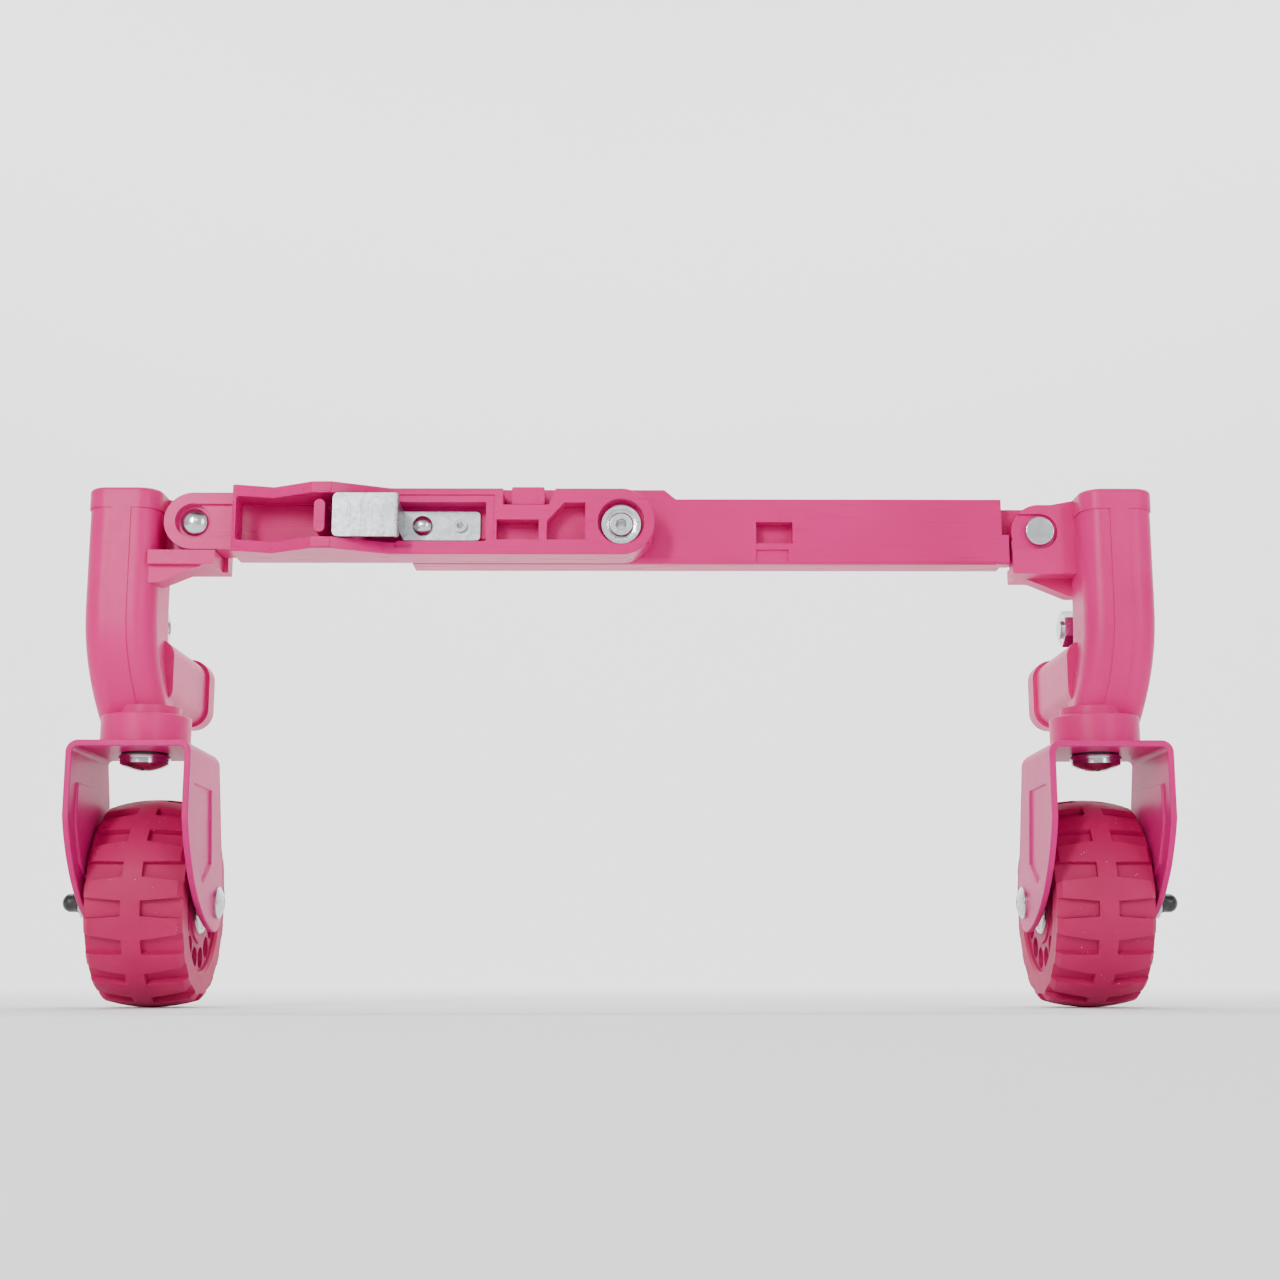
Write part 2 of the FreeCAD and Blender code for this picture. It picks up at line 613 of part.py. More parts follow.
def lock_pin():
    """Tubular pin in the plate. Its tip ends flush with the link's back face."""
    tip = link_depth + 0.1
    pin = d_rod(latch_d - 1.6, tip, lock_x, pivot_z, lock_r)
    return pin.cut(d_rod(latch_d - 2, latch_d + 4, lock_x, pivot_z, 1.7))


def latch_spring():
    """Compression spring between the channel floor and the back of the press tab."""
    low = tab_d + latch_t + spring_wire + 0.1
    high = floor_d - spring_wire - 0.02
    coils = 7
    path = Part.makeHelix((high - low) / coils, high - low, spring_r)
    wire = Part.Wire(path.Edges)
    start = V(spring_r, 0, 0)
    circle = Part.Wire(Part.makeCircle(spring_wire, start, ALONG_D))
    coil = wire.makePipeShell([circle], True, True)
    coil = Part.makeSolid(coil) if coil.ShapeType == "Shell" else coil
    coil.rotate(V(0, 0, 0), ALONG_X, -90)
    coil.translate(at(spring_x, low, pivot_z))
    return coil


# ---------------------------------------------------------------- casters
def king_insert(side):
    body = z_rod(insert_z0, insert_z1, side * swivel_x, swivel_d, insert_r)
    return body.cut(z_rod(insert_z0 - 1, insert_z1 + 1, side * swivel_x, swivel_d,
                          thread_r + fit_gap))


bush_flange = 1.0
washer_top = fork_top - fork_t - bush_flange - face_gap


def king_bolt(side):
    """Shoulder bolt that the fork turns on, its round cross-slotted head below the fork."""
    x = side * swivel_x
    base = washer_top - king_washer_t
    head = dome(at(x, swivel_d, base), ALONG_Z * -1, king_head_r, 2.2, king_head_h)
    shoulder = z_rod(base, insert_z0, x, swivel_d, shoulder_r)
    thread = z_rod(base, insert_z1 - 0.5, x, swivel_d, thread_r)
    low = base - king_head_h - 1
    slots = [block(x - 5.5, x + 5.5, swivel_d - 0.9, swivel_d + 0.9, low, low + 4.2),
             block(x - 0.9, x + 0.9, swivel_d - 5.5, swivel_d + 5.5, low, low + 4.2)]
    return merged(head, shoulder, thread).cut(slots)


def king_washer(side):
    x = side * swivel_x
    body = z_rod(washer_top - king_washer_t, washer_top, x, swivel_d, king_washer_r)
    return body.cut(z_rod(washer_top - 9, washer_top + 9, x, swivel_d, shoulder_r + fit_gap))


def thrust_washer(side):
    x = side * swivel_x
    body = z_rod(fork_top, collar_z0 - face_gap, x, swivel_d, 15.0)
    return body.cut(z_rod(fork_top - 9, fork_top + 9, x, swivel_d, shoulder_r + run_gap))


def swivel_bush(side):
    """Flanged bush pressed into the fork's top plate from below."""
    x = side * swivel_x
    sleeve = z_rod(fork_top - fork_t, fork_top, x, swivel_d, shoulder_r + run_gap + bush_wall)
    flange = z_rod(fork_top - fork_t - bush_flange, fork_top - fork_t, x, swivel_d, 11.0)
    return merged(sleeve, flange).cut(z_rod(fork_top - 9, fork_top + 9, x, swivel_d,
                                            shoulder_r + run_gap))


def arm_outline():
    """Edge of a fork arm seen from the side, as a flat face in depth and height."""
    tip_low = at(0, axle_d - 2.5, axle_z - fork_end_r)
    corner_front = at(0, fork_front, 86.0)
    lines = [Part.makeLine(corner_front, at(0, fork_front, fork_top)),
             Part.makeLine(at(0, fork_front, fork_top), at(0, fork_back, fork_top)),
             Part.makeLine(at(0, fork_back, fork_top), at(0, axle_d + fork_end_r, axle_z + 4)),
             Part.Arc(at(0, axle_d + fork_end_r, axle_z + 4),
                      at(0, axle_d + fork_end_r * 0.75, axle_z - fork_end_r * 0.68),
                      tip_low).toShape(),
             Part.Arc(tip_low, at(0, 10.0, 54.7), corner_front).toShape()]
    return Part.Face(Part.Wire(lines))


def fork(side):
    """Bent sheet fork: a top plate and two arms, each with a shallow pressed panel."""
    x = side * swivel_x
    half = fork_width / 2
    d0 = fork_front - 1
    d1 = axle_d + fork_end_r + 1
    outer = block(x - half, x + half, d0, d1, 0, fork_top)
    inner = block(x - half + fork_t, x + half - fork_t, d0, d1, -1, fork_top - fork_t)
    ends = [e for e in outer.Edges if e.BoundBox.ZMin > fork_top - 0.01 and e.BoundBox.YLength > 9]
    outer = outer.makeFillet(fork_bend, ends)
    ends = [e for e in inner.Edges
            if e.BoundBox.ZMin > fork_top - fork_t - 0.01 and e.BoundBox.YLength > 9]
    inner = inner.makeFillet(fork_bend - fork_t, ends)
    sheet = outer.cut(inner)
    stencil = arm_outline().extrude(ALONG_X * (fork_width + 10))
    stencil.translate(ALONG_X * (x - half - 5))
    body = sheet.common(stencil)

    # Pressed panels: sunk outside, raised inside, following the arm's curved front edge.
    panel = [(-2.5, 102.6), (34.0, 102.6), (40.0, 68.0), (24.0, 58.0), (8.0, 66.0), (-2.5, 84.0)]
    for hand in (-1, 1):
        face_x = x + hand * half
        low, high = sorted((face_x, face_x - hand * panel_in))
        body = body.cut(prism("x", panel, low, high))
        low, high = sorted((face_x - hand * fork_t, face_x - hand * (fork_t + panel_in)))
        body = body.fuse(prism("x", panel, low, high))
    holes = [x_rod(x - half - 9, x + half + 9, axle_d, axle_z, axle_r + fit_gap),
             z_rod(fork_top - 9, fork_top + 9, x, swivel_d, shoulder_r + run_gap + bush_wall
                   + fit_gap)]
    return body.cut(holes)


def wheel_span(side, out0, out1):
    """Range along X of something placed by its distance outward from the wheel's middle."""
    return sorted((side * (swivel_x + out0), side * (swivel_x + out1)))


def axle_bolt(side):
    """Wheel axle: a bolt put in from the inner side, with a cross mark in its round head."""
    half = fork_width / 2
    inward = ALONG_X * -side
    base = at(side * (swivel_x - half), axle_d, axle_z)
    head = dome(base, inward, axle_head_r, 1.4, axle_head_h)
    x0, x1 = wheel_span(side, -half, half + washer_t + nut_h + 4.0)
    shank = x_rod(x0, x1, axle_d, axle_z, axle_r)
    mark0, mark1 = wheel_span(side, -half - axle_head_h - 1, -half - axle_head_h + 0.9)
    marks = [block(mark0, mark1, axle_d - 3.2, axle_d + 3.2, axle_z - 0.6, axle_z + 0.6),
             block(mark0, mark1, axle_d - 0.6, axle_d + 0.6, axle_z - 3.2, axle_z + 3.2)]
    return merged(head, shank).cut(marks)


def axle_ring(side, out0, out1, r_out, r_in):
    x0, x1 = wheel_span(side, out0, out1)
    return x_rod(x0, x1, axle_d, axle_z, r_out).cut(x_rod(x0 - 1, x1 + 1, axle_d, axle_z, r_in))


def axle_washer(side):
    half = fork_width / 2
    return axle_ring(side, half, half + washer_t, 8.0, axle_r + fit_gap)


def axle_nut(side):
    half = fork_width / 2 + washer_t
    outward = ALONG_X * side
    base = at(side * (swivel_x + half), axle_d, axle_z)
    body = hexagon(base, outward, nut_flats, nut_h)
    body = body.common(Part.makeSphere(8.6, base + outward * (nut_h * 0.4)))
    x0, x1 = wheel_span(side, half - 1, half + nut_h + 1)
    return body.cut(x_rod(x0, x1, axle_d, axle_z, axle_r + fit_gap))


def axle_cap(side):
    """Soft round cap pushed over the end of the axle's thread."""
    half = fork_width / 2 + washer_t + nut_h
    outward = ALONG_X * side
    base = at(side * (swivel_x + half), axle_d, axle_z)
    body = dome(base, outward, cap_r, cap_h - 4.0, cap_h)
    x0, x1 = wheel_span(side, half - 1, half + 4.2)
    return body.cut(x_rod(x0, x1, axle_d, axle_z, axle_r + fit_gap))


def axle_spacers(side):
    """Short sleeves between each fork arm and the bearing beside it."""
    inside = fork_width / 2 - fork_t
    pair = []
    for hand in (-1, 1):
        low, high = sorted((hand * (bearing_out + face_gap), hand * inside))
        pair.append(axle_ring(side, low, high, spacer_r, axle_r + fit_gap))
    return Part.makeCompound(pair)


def bearing(side, hand):
    """Ball bearing: two rings with a sunk shield between them, drawn as one turned piece."""
    inner = axle_r + run_gap
    base = at(side * swivel_x + hand * (bearing_out - bearing_w), axle_d, axle_z)
    points = [(inner, 0), (6.3, 0), (6.3, 0.7), (12.6, 0.7), (12.6, 0), (bearing_r, 0),
              (bearing_r, bearing_w), (12.6, bearing_w), (12.6, bearing_w - 0.7),
              (6.3, bearing_w - 0.7), (6.3, bearing_w), (inner, bearing_w)]
    return turned(points, base, ALONG_X * hand)


def hub(side):
    """Moulded hub: bearing seats, a ring of round cups on each side and small holes inside it."""
    x = side * swivel_x
    points = [(axle_r + 3.0, -12), (axle_r + 3.0, 12), (bearing_r + 4.5, 12),
              (bearing_r + 4.5, hub_half - 1.0), (tyre_in_r - fit_gap, hub_half - 1.0),
              (tyre_in_r - fit_gap, 1 - hub_half), (bearing_r + 4.5, 1 - hub_half),
              (bearing_r + 4.5, -12)]
    body = turned(points, at(x, axle_d, axle_z), ALONG_X)
    seat_ring = x_rod(x - hub_half, x + hub_half, axle_d, axle_z, bearing_r + 4.5)
    body = merged(body, seat_ring)
    cuts = [x_rod(x - 30, x + 30, axle_d, axle_z, axle_r + 3.0)]
    for hand in (-1, 1):
        seat = bearing_out - bearing_w
        low, high = sorted((x + hand * seat, x + hand * 30))
        cuts.append(x_rod(low, high, axle_d, axle_z, bearing_r + fit_gap))
        for step in range(cups):
            turn = 2 * math.pi * step / cups
            d = axle_d + cup_pitch_r * math.cos(turn)
            z = axle_z + cup_pitch_r * math.sin(turn)
            low, high = sorted((x + hand * (hub_half - cup_deep), x + hand * 30))
            cuts.append(x_rod(low, high, d, z, cup_r))
    return body.cut(cuts)


def tread_pocket(x, hand):
    """One open-sided pocket at the top of the tread, wider toward the shoulder."""
    ends = []
    for out, height in ((pocket_start, pocket_h_in), (tyre_width / 2 + 1, pocket_h_out)):
        low = wheel_r - pocket_deep - crown * (out / (tyre_width / 2)) ** 2
        px = x + hand * out
        top = wheel_r + 3
        corners = [at(px, axle_d - height / 2, axle_z + top),
                   at(px, axle_d + height / 2, axle_z + top),
                   at(px, axle_d + height / 2 - 0.8, axle_z + low),
                   at(px, axle_d - height / 2 + 0.8, axle_z + low)]
        ends.append(Part.makePolygon(corners + corners[:1]))
    return Part.makeLoft(ends, True, True)


def tyre(side):
    """Moulded tread ring with two rows of pockets."""
    x = side * swivel_x
    half = tyre_width / 2
    centre = at(x, axle_d, axle_z)
    points = [(tyre_in_r, -half + 1.2), (tyre_in_r + 1.2, -half), (wheel_r - crown - 2.0, -half),
              (wheel_r - crown, -half + 1.6)]
    for step in range(-4, 5):
        out = (half - 2.2) * step / 4
        points.append((wheel_r - crown * (out / half) ** 2, out))
    points += [(wheel_r - crown, half - 1.6), (wheel_r - crown - 2.0, half),
               (tyre_in_r + 1.2, half), (tyre_in_r, half - 1.2)]
    body = turned(points, centre, ALONG_X)
    cuts = []
    for hand in (-1, 1):
        pocket = tread_pocket(x, hand)
        for step in range(tread_pockets):
            copy = pocket.copy()
            copy.rotate(centre, ALONG_X, 360.0 * (step + 0.5) / tread_pockets)
            cuts.append(copy)
    return body.cut(cuts)


# ---------------------------------------------------------------- write the pieces
os.makedirs("parts", exist_ok=True)

save("left_link", left_link())
save("right_link", right_link())
save("left_end_rivet", left_end_rivet())
save("right_end_rivet", right_end_rivet())
save("centre_rivet", centre_rivet())
save("centre_washer", centre_washer())
save("latch_plate", latch_plate())
save("latch_rivet", latch_rivet())
save("lock_pin", lock_pin())
save("latch_spring", latch_spring())

for name, side in (("left", -1), ("right", 1)):
    save(name + "_bracket", bracket(side))
    for piece, shape in (("bolt", frame_bolt()), ("nut", frame_nut())):
        shape.translate(at(side * leg_x - ear_half, ear_d, ear_z))
        save(name + "_frame_" + piece, shape)
    save(name + "_king_insert", king_insert(side))
    save(name + "_king_bolt", king_bolt(side))
    save(name + "_king_washer", king_washer(side))
    save(name + "_thrust_washer", thrust_washer(side))
    save(name + "_swivel_bush", swivel_bush(side))
    save(name + "_fork", fork(side))
    save(name + "_axle_bolt", axle_bolt(side))
    save(name + "_axle_washer", axle_washer(side))
    save(name + "_axle_nut", axle_nut(side))
    save(name + "_axle_cap", axle_cap(side))
    save(name + "_axle_spacers", axle_spacers(side))
    save(name + "_inner_bearing", bearing(side, -side))
    save(name + "_outer_bearing", bearing(side, side))
    save(name + "_hub", hub(side))
    save(name + "_tyre", tyre(side))
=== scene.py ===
# %% [markdown]
# A folding front caster frame from a collapsible wagon. Two moulded corner brackets stand on
# swivelling casters, and a crossbar of two links joins them. The engineering model already
# holds every shape that fits or moves, so this lesson is about finishing: rounding the edges
# that a mould or a press would round, turning a few small pieces on a lathe, and giving each
# material its own surface. The frame is loaded first, because every place comes from it.

# %% load the frame
import json
import math

import bmesh
import bpy
from mathutils import Matrix, Vector


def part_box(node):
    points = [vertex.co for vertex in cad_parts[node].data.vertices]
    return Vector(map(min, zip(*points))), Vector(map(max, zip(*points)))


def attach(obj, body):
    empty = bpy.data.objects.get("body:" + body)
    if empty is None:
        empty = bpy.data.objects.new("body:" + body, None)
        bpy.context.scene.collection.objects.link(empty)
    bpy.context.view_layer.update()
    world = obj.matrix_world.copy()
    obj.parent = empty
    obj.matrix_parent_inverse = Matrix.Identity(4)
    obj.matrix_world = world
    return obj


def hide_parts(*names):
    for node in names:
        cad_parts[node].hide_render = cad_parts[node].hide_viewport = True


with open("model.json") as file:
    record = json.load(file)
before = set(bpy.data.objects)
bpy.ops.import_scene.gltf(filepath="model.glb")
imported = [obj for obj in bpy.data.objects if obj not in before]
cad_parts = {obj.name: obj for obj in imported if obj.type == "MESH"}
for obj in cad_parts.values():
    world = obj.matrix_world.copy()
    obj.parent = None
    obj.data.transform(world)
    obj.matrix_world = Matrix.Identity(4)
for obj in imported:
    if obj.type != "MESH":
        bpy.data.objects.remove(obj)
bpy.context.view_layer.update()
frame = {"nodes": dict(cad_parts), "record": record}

# %% [markdown]
# The camera stands almost on the floor and looks slightly up, so the undersides of the crossbar
# and the fork plates show. A camera's aim is two turns: a pitch about its own X axis, which
# starts at 90 degrees for a level view, and a small turn about the upright axis.

# %% camera
camera_data = bpy.data.cameras.new("camera")
camera_data.lens = 51.6
camera_data.sensor_width = 36.0
camera_data.clip_start = 0.005
camera = bpy.data.objects.new("camera", camera_data)
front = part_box("left_link")[0].y + 0.0129
camera.location = (0.0044, front - 0.850, 0.0130)
camera.rotation_euler = (math.radians(90 + 10.5), 0, math.radians(-0.31))
bpy.context.scene.collection.objects.link(camera)
bpy.context.scene.camera = camera
print("camera at", [round(v, 3) for v in camera.location])


# %% [markdown]
# The backdrop is one round bowl: a floor that curves up into a wall on every side, as in a
# product studio. Its outline is a line of points from the middle outwards, spun about the
# upright axis, so it has no corner to show as a horizon.

# %% backdrop
def studio_bowl(flat, rise, height):
    """A floor that bends up into a round wall, spun from one line."""
    bm = bmesh.new()
    steps = 16
    line = [bm.verts.new((0, 0, 0)), bm.verts.new((0, flat, 0))]
    for step in range(1, steps + 1):
        turn = math.pi / 2 * step / steps
        line.append(bm.verts.new((0, flat + rise * math.sin(turn), rise * (1 - math.cos(turn)))))
    line.append(bm.verts.new((0, flat + rise, height)))
    edges = [bm.edges.new(pair) for pair in zip(line, line[1:])]
    bmesh.ops.spin(bm, geom=line + edges, cent=(0, 0, 0), axis=(0, 0, 1), steps=96,
                   angle=math.tau, use_merge=True)
    bmesh.ops.remove_doubles(bm, verts=bm.verts[:], dist=1e-5)
    bmesh.ops.recalc_face_normals(bm, faces=bm.faces[:])
    bmesh.ops.reverse_faces(bm, faces=bm.faces[:])
    mesh = bpy.data.meshes.new("studio_bowl")
    bm.to_mesh(mesh)
    bm.free()
    mesh.shade_smooth()
    bowl = bpy.data.objects.new("studio_bowl", mesh)
    bpy.context.scene.collection.objects.link(bowl)
    return bowl


backdrop = studio_bowl(flat=2.4, rise=1.2, height=4.5)
backdrop_paint = bpy.data.materials.new("studio_white")
backdrop_paint.use_nodes = True
backdrop_shader = backdrop_paint.node_tree.nodes["Principled BSDF"]
backdrop_shader.inputs["Base Color"].default_value = (0.92, 0.92, 0.92, 1)
backdrop_shader.inputs["Roughness"].default_value = 0.9
backdrop_shader.inputs["Specular IOR Level"].default_value = 0.1
backdrop.data.materials.append(backdrop_paint)
print("backdrop faces", len(backdrop.data.polygons))

# %% [markdown]
# Soft light comes from large panels. A tall panel on each side of the front draws the long
# streaks down the round uprights, and an even white sky fills the shadows and whitens the
# surfaces that are seen at a shallow angle.


# %% lights
def light_panel(name, place, aim, width, height, power):
    lamp = bpy.data.lights.new(name, "AREA")
    lamp.shape = "RECTANGLE"
    lamp.size = width
    lamp.size_y = height
    lamp.energy = power
    panel = bpy.data.objects.new(name, lamp)
    panel.location = place
    panel.rotation_euler = (Vector(aim) - Vector(place)).to_track_quat("-Z", "Y").to_euler()
    bpy.context.scene.collection.objects.link(panel)
    return panel


middle = (0, 0, 0.15)
light_panel("left_panel", (-0.9, -1.9, 0.9), middle, 0.24, 0.8, 29)
light_panel("right_panel", (1.1, -1.7, 0.7), middle, 0.25, 0.8, 8)
light_panel("front_panel", (-0.3, -2.8, 1.3), middle, 1.2, 0.5, 5)
light_panel("top_panel", (0, 0.5, 2.2), (0, 0.5, 0), 2.6, 2.0, 35)
light_panel("wall_panel", (0, 1.6, 2.8), (0, 3.3, 0.8), 4.0, 1.0, 150)

sky = bpy.data.worlds.new("sky")
sky.use_nodes = True
sky.node_tree.nodes["Background"].inputs["Color"].default_value = (1, 1, 1, 1)
sky.node_tree.nodes["Background"].inputs["Strength"].default_value = 0.08
bpy.context.scene.world = sky
print("lights", len(bpy.data.lights))


# %% [markdown]
# Every finish starts from the same bench: a new material, its Principled shader, and a Texture
# Coordinate node read as Object. Object coordinates are real metres from the origin, so a grain
# of half a millimetre is the same size on every piece, and it stays put when a piece moves.

# %% bench for materials
class Finish:
    """A material with short ways to add the nodes that its surface needs."""

    def __init__(self, name, roughness=0.5, metallic=0.0):
        self.material = bpy.data.materials.new(name)
        self.material.use_nodes = True
        self.nodes = self.material.node_tree.nodes
        self.links = self.material.node_tree.links
        self.shader = self.nodes["Principled BSDF"]
        self.shader.inputs["Roughness"].default_value = roughness
        self.shader.inputs["Metallic"].default_value = metallic
        self.place = self.nodes.new("ShaderNodeTexCoord").outputs["Object"]

    def noise(self, per_metre, detail=3.0, rough=0.5):
        node = self.nodes.new("ShaderNodeTexNoise")
        node.inputs["Scale"].default_value = per_metre
        node.inputs["Detail"].default_value = detail
        node.inputs["Roughness"].default_value = rough
        self.links.new(self.place, node.inputs["Vector"])
        return node.outputs["Fac"]

    def cells(self, per_metre, output="Color"):
        node = self.nodes.new("ShaderNodeTexVoronoi")
        node.inputs["Scale"].default_value = per_metre
        self.links.new(self.place, node.inputs["Vector"])
        return node.outputs[output]

    def stretched(self, factors):
        """The place, scaled by a different amount along each axis."""
        node = self.nodes.new("ShaderNodeMapping")
        node.inputs["Scale"].default_value = factors
        self.links.new(self.place, node.inputs["Vector"])
        return node.outputs["Vector"]

    def ramp(self, value, stops):
        """Colours or greys at places from 0 to 1."""
        node = self.nodes.new("ShaderNodeValToRGB")
        bar = node.color_ramp.elements
        while len(bar) < len(stops):
            bar.new(0.5)
        for element, (place, tone) in zip(bar, stops):
            element.position = place
            element.color = tone if len(tone) == 4 else (*tone, 1)
        self.links.new(value, node.inputs["Fac"])
        return node.outputs["Color"]

    def span(self, value, low, high):
        node = self.nodes.new("ShaderNodeMapRange")
        node.inputs["To Min"].default_value = low
        node.inputs["To Max"].default_value = high
        self.links.new(value, node.inputs["Value"])
        return node.outputs["Result"]

    def mix(self, amount, first, second, how="MIX"):
        node = self.nodes.new("ShaderNodeMix")
        node.data_type = "RGBA"
        node.blend_type = how
        for socket, value in ((node.inputs[0], amount), (node.inputs[6], first),
                              (node.inputs[7], second)):
            if isinstance(value, bpy.types.NodeSocket):
                self.links.new(value, socket)
            elif isinstance(value, tuple):
                socket.default_value = (*value, 1)
            else:
                socket.default_value = value
        return node.outputs[2]

    def bump(self, height, strength, distance, under=None):
        node = self.nodes.new("ShaderNodeBump")
        node.inputs["Strength"].default_value = strength
        node.inputs["Distance"].default_value = distance
        self.links.new(height, node.inputs["Height"])
        if under:
            self.links.new(under, node.inputs["Normal"])
        return node.outputs["Normal"]

    def wire(self, **sockets):
        names = {"colour": "Base Color", "roughness": "Roughness", "normal": "Normal"}
        for key, output in sockets.items():
            self.links.new(output, self.shader.inputs[names[key]])
        return self.material


print("bench ready")

# %% [markdown]
# The brackets are moulded in a stiff magenta plastic with a fine spark texture, so their gloss
# is broken into small glints. Two scales do it: a slow drift of colour from the way the melt
# flowed, and a fine grain that only shows in the highlights.

# %% bracket plastic
magenta = (0.620, 0.006, 0.165)
magenta_deep = (0.540, 0.004, 0.138)
magenta_lit = (0.680, 0.009, 0.190)


def textured_plastic():
    finish = Finish("bracket_plastic")
    drift = finish.noise(14, 2.0)
    colour = finish.ramp(drift, [(0.30, magenta_deep), (0.52, magenta), (0.75, magenta_lit)])
    grain = finish.noise(1500, 2.0, 0.6)
    ripple = finish.noise(90, 2.0)
    normal = finish.bump(ripple, 0.05, 0.0004)
    normal = finish.bump(grain, 0.30, 0.00012, normal)
    roughness = finish.span(finish.noise(260, 3.0), 0.30, 0.46)
    finish.shader.inputs["Specular IOR Level"].default_value = 0.22
    return finish.wire(colour=colour, roughness=roughness, normal=normal)


bracket_plastic = textured_plastic()
print(bracket_plastic.name, len(bracket_plastic.node_tree.nodes), "nodes")

# %% [markdown]
# The two links come from polished moulds, so they are smoother and show broad soft reflections.
# What breaks them up is sink: the wall draws in a little behind each rib as it cools. A slow
# noise stretched along the bar stands for that, with a few fine rub marks over it.


# %% link plastic
def polished_plastic():
    finish = Finish("link_plastic")
    drift = finish.noise(9, 2.0)
    colour = finish.ramp(drift, [(0.30, (0.530, 0.004, 0.130)), (0.52, (0.600, 0.006, 0.156)),
                                 (0.75, magenta_lit)])
    sink = finish.nodes.new("ShaderNodeTexNoise")
    sink.inputs["Scale"].default_value = 30
    sink.inputs["Detail"].default_value = 1.0
    finish.links.new(finish.stretched((0.6, 1.0, 1.6)), sink.inputs["Vector"])
    rubs = finish.nodes.new("ShaderNodeTexNoise")
    rubs.inputs["Scale"].default_value = 500
    rubs.inputs["Detail"].default_value = 4.0
    finish.links.new(finish.stretched((0.05, 1.0, 1.0)), rubs.inputs["Vector"])
    normal = finish.bump(sink.outputs["Fac"], 0.30, 0.0008)
    normal = finish.bump(rubs.outputs["Fac"], 0.08, 0.00006, normal)
    roughness = finish.span(rubs.outputs["Fac"], 0.20, 0.40)
    finish.shader.inputs["Specular IOR Level"].default_value = 0.20
    return finish.wire(colour=colour, roughness=roughness, normal=normal)


link_plastic = polished_plastic()
print(link_plastic.name, len(link_plastic.node_tree.nodes), "nodes")

# %% [markdown]
# The forks are bent steel under powder coat. Powder melts into a skin with a gentle orange
# peel, about a millimetre from bump to bump, and it is a little bluer than the plastic.


# %% powder coat
def powder_coat():
    finish = Finish("fork_coat")
    drift = finish.noise(20, 2.0)
    colour = finish.ramp(drift, [(0.3, (0.510, 0.006, 0.150)), (0.7, (0.580, 0.009, 0.175))])
    peel = finish.noise(900, 1.0)
    speck = finish.noise(3000, 1.0)
    normal = finish.bump(peel, 0.25, 0.00018)
    normal = finish.bump(speck, 0.12, 0.00005, normal)
    roughness = finish.span(peel, 0.34, 0.46)
    finish.shader.inputs["Specular IOR Level"].default_value = 0.16
    return finish.wire(colour=colour, roughness=roughness, normal=normal)


fork_coat = powder_coat()
print(fork_coat.name, len(fork_coat.node_tree.nodes), "nodes")

# %% [markdown]
# The tyres are a softer, matt plastic, redder than the rest. Dust settles on them in pale
# specks. Each speck is one cell of a Voronoi pattern, kept only where a second noise is high,
# so they are few and scattered.


# %% tread plastic
def tread_plastic(name, base, deep, specks=True):
    finish = Finish(name)
    drift = finish.noise(25, 3.0)
    colour = finish.ramp(drift, [(0.3, deep), (0.7, base)])
    if specks:
        near = finish.cells(420, "Distance")
        dot = finish.ramp(near, [(0.05, (1, 1, 1)), (0.14, (0, 0, 0))])
        where = finish.ramp(finish.noise(130, 2.0), [(0.60, (0, 0, 0)), (0.66, (1, 1, 1))])
        dust = finish.mix(1.0, dot, where, "MULTIPLY")
        colour = finish.mix(dust, colour, (0.70, 0.30, 0.42))
    grain = finish.noise(1100, 3.0, 0.6)
    normal = finish.bump(grain, 0.25, 0.00015)
    normal = finish.bump(finish.noise(160, 2.0), 0.12, 0.0004, normal)
    roughness = finish.span(finish.noise(120, 3.0), 0.50, 0.68)
    finish.shader.inputs["Specular IOR Level"].default_value = 0.30
    return finish.wire(colour=colour, roughness=roughness, normal=normal)


tread = tread_plastic("tread", (0.440, 0.004, 0.086), (0.370, 0.003, 0.070))
hub_plastic = tread_plastic("hub_plastic", (0.430, 0.005, 0.100), (0.370, 0.004, 0.080), False)
print("tread and hub finishes made")

# %% [markdown]
# Zinc plate is bright but never a clean mirror. The bolts, washers and rivets get small swirls
# in roughness. The latch is cut from galvanised sheet, whose zinc freezes into flat crystals:
# each Voronoi cell takes its own grey and its own gloss, which is the spangle.


# %% zinc finishes
def bright_zinc(name, tone, low, high, swirl):
    finish = Finish(name, metallic=1.0)
    drift = finish.noise(swirl, 4.0)
    dark = tuple(part * 0.80 for part in tone)
    colour = finish.ramp(drift, [(0.30, dark), (0.65, tone)])
    roughness = finish.span(finish.noise(swirl * 2.4, 3.0), low, high)
    normal = finish.bump(finish.noise(swirl * 3, 3.0), 0.20, 0.00006)
    return finish.wire(colour=colour, roughness=roughness, normal=normal)


def spangled_zinc():
    finish = Finish("latch_steel", metallic=1.0)
    crystals = finish.cells(520, "Color")
    grey = finish.nodes.new("ShaderNodeRGBToBW")
    finish.links.new(crystals, grey.inputs["Color"])
    tone = finish.ramp(grey.outputs["Val"], [(0.15, (0.42, 0.44, 0.46)), (0.5, (0.48, 0.50, 0.52)),
                                             (0.85, (0.56, 0.58, 0.60))])
    cloud = finish.ramp(finish.noise(70, 3.0), [(0.3, (0.86, 0.88, 0.90)), (0.7, (1, 1, 1))])
    colour = finish.mix(1.0, tone, cloud, "MULTIPLY")
    roughness = finish.span(grey.outputs["Val"], 0.26, 0.36)
    normal = finish.bump(finish.noise(1800, 3.0), 0.25, 0.00006)
    return finish.wire(colour=colour, roughness=roughness, normal=normal)


